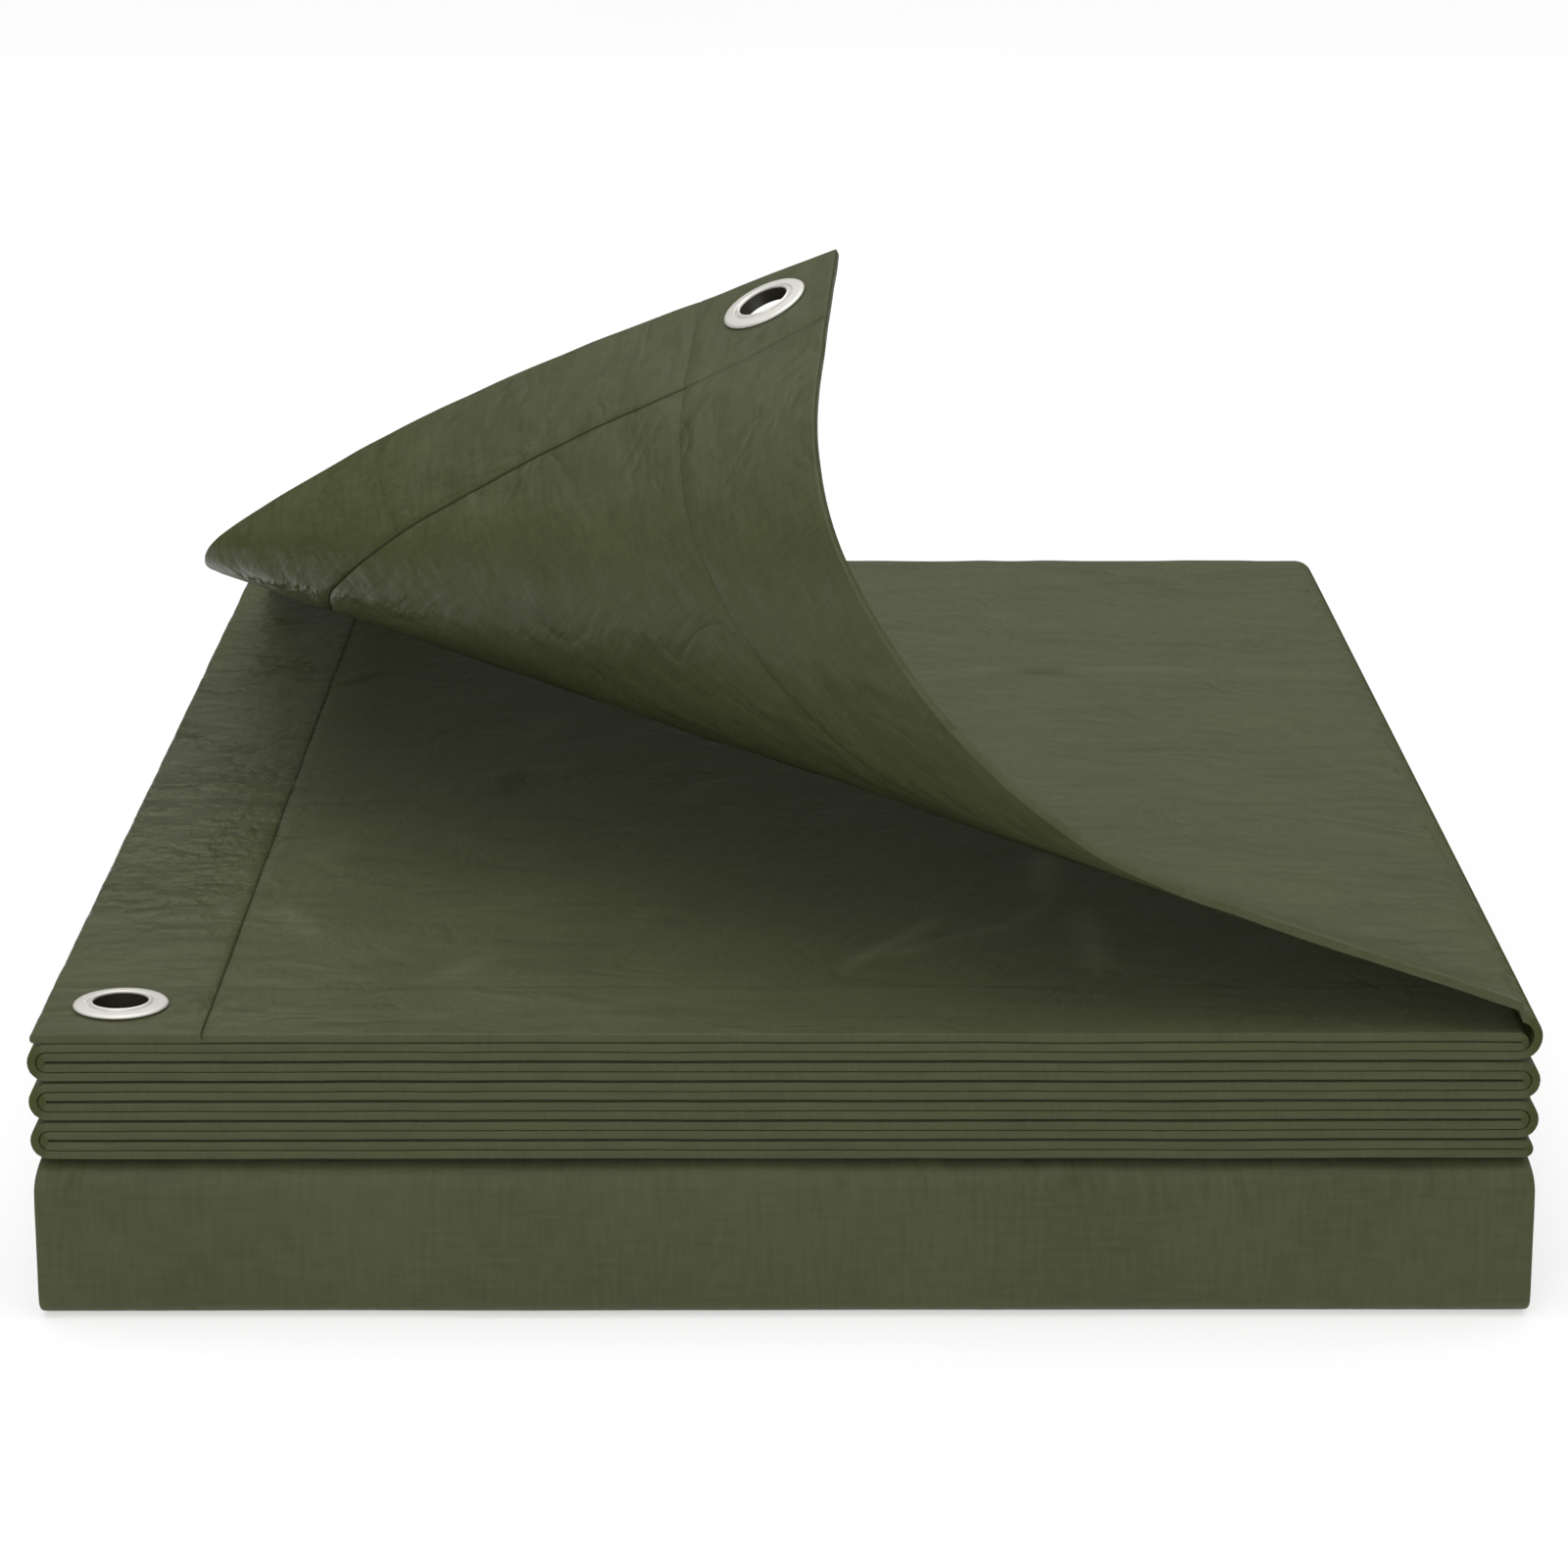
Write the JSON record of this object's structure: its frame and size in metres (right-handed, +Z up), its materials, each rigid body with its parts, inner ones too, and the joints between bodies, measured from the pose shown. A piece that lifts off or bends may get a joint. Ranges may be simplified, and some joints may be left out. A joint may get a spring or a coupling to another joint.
{
  "type": "folded poly tarp",
  "caption": "Folded green woven poly tarp with wide hems and metal eyelets, one corner of its top layer turned back.",
  "frame": {"origin": "centre of the bounding box on the floor, under the folded tarp", "axes": "+X to the right and -Y to the front as seen in the picture, +Z up from the floor"},
  "size_m": [0.3817, 0.52, 0.2463],
  "materials": {
    "tarp": "coated weave, satin, olive green",
    "hem": "coated weave, satin, olive green",
    "eyelet": "satin, slightly warm"
  },
  "bodies": {
    "root": {"cloth": "tarp", "top_layer": "tarp", "hem_strip_lower": "hem", "hem_strip_upper": "hem", "eyelet_lower": "eyelet", "washer_lower": "eyelet", "eyelet_upper": "eyelet", "washer_upper": "eyelet"}
  },
  "joints": []
}
